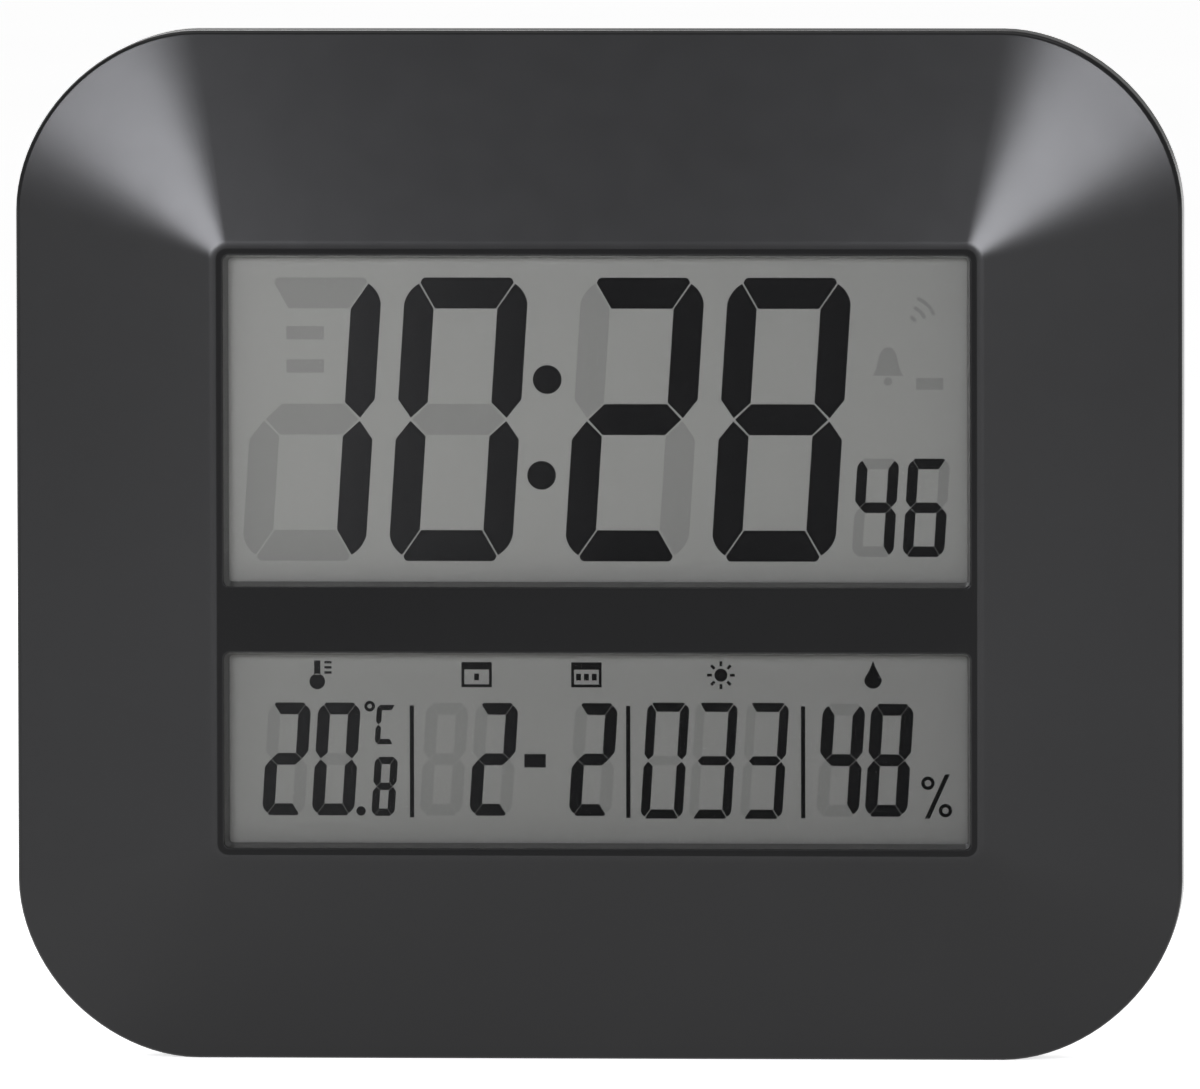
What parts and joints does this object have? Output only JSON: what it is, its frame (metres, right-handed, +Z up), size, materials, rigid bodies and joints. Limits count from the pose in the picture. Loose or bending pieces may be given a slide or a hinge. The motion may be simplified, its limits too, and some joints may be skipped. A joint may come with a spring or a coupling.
{
  "type": "digital clock",
  "caption": "Flat digital wall and table clock with two display windows, a fold-out stand, a battery door and rear buttons.",
  "frame": {"origin": "on the surface that the clock stands on, under the middle of the case in width and depth", "axes": "+X to the right as seen from the front, +Z up, the display faces -Y"},
  "size_m": [0.26, 0.032, 0.2295],
  "materials": {
    "bezel": "charcoal plastic with a satin sheen and a very fine grain",
    "cover": "charcoal plastic with a fine spark-eroded texture",
    "lens": "clear polished acrylic",
    "polariser": "grey polarising film with a soft anti-glare surface",
    "display_glass": "thin float glass",
    "reflector": "silvered diffusing film",
    "holder": "black moulded plastic",
    "zebra": "layered silicone rubber connector",
    "board": "green solder mask over fibreglass",
    "black_resin": "black epoxy and moulded component cases",
    "steel": "nickel-plated spring steel",
    "sensor": "white ceramic-filled plastic case",
    "cell_wrap": "plain shrink sleeve over a steel can",
    "red_wire": "soft vinyl insulation",
    "black_wire": "soft vinyl insulation",
    "ribbon": "grey ribbon cable",
    "button": "charcoal moulded plastic, slightly polished by use",
    "plunger": "grey moulded plastic",
    "screw": "zinc-plated steel"
  },
  "bodies": {
    "case": {"front_bezel": "bezel", "rear_cover": "cover", "display_lens": "lens", "front_polariser": "polariser", "lcd_front_glass": "display_glass", "lcd_rear_glass": "display_glass", "rear_reflector": "reflector", "display_holder": "holder", "zebra_strip": "zebra", "main_board": "board", "key_board": "board", "controller_chip": "black_resin", "quartz_crystal": "steel", "capacitor_1": "black_resin", "capacitor_2": "black_resin", "alarm_buzzer": "black_resin", "humidity_sensor": "sensor", "temperature_sensor": "black_resin", "battery_cell_1": "cell_wrap", "battery_cell_2": "cell_wrap", "battery_spring_1": "steel", "battery_spring_2": "steel", "bridge_contact": "steel", "positive_contact": "steel", "negative_contact": "steel", "battery_wire_red": "red_wire", "battery_wire_black": "black_wire", "key_ribbon": "ribbon", "switch_set": "black_resin", "switch_up": "black_resin", "switch_down": "black_resin", "switch_alarm": "black_resin", "switch_unit": "black_resin", "housing_screw_1": "screw", "housing_screw_2": "screw", "housing_screw_3": "screw", "housing_screw_4": "screw", "housing_screw_5": "screw", "housing_screw_6": "screw", "holder_screw_1": "screw", "holder_screw_2": "screw", "holder_screw_3": "screw", "holder_screw_4": "screw", "board_screw_1": "screw", "board_screw_2": "screw", "key_screw_1": "screw", "key_screw_2": "screw"},
    "stand": {"stand_leg": "cover"},
    "door": {"battery_door": "cover"},
    "set_key": {"button_set": "button", "plunger_set": "plunger"},
    "up_key": {"button_up": "button", "plunger_up": "plunger"},
    "down_key": {"button_down": "button", "plunger_down": "plunger"},
    "alarm_key": {"button_alarm": "button", "plunger_alarm": "plunger"},
    "unit_key": {"button_unit": "button", "plunger_unit": "plunger"}
  },
  "joints": [
    {"name": "stand_fold", "type": "hinge", "parent": "case", "child": "stand", "pos_m": [0, 0.0128, 0.097], "axis": [1, 0, 0], "range_deg": [0, 40]},
    {"name": "door_swing", "type": "hinge", "parent": "case", "child": "door", "pos_m": [0, 0.016, 0.1141], "axis": [-1, 0, 0], "range_deg": [0, 80]},
    {"name": "set_press", "type": "slide", "parent": "case", "child": "set_key", "axis": [0, -1, 0], "range_m": [0, 0.0005], "stiffness_N_per_m": 300, "springref_m": -0.001},
    {"name": "up_press", "type": "slide", "parent": "case", "child": "up_key", "axis": [0, -1, 0], "range_m": [0, 0.0005], "stiffness_N_per_m": 300, "springref_m": -0.001},
    {"name": "down_press", "type": "slide", "parent": "case", "child": "down_key", "axis": [0, -1, 0], "range_m": [0, 0.0005], "stiffness_N_per_m": 300, "springref_m": -0.001},
    {"name": "alarm_press", "type": "slide", "parent": "case", "child": "alarm_key", "axis": [0, -1, 0], "range_m": [0, 0.0005], "stiffness_N_per_m": 300, "springref_m": -0.001},
    {"name": "unit_press", "type": "slide", "parent": "case", "child": "unit_key", "axis": [0, -1, 0], "range_m": [0, 0.0005], "stiffness_N_per_m": 300, "springref_m": -0.001}
  ]
}
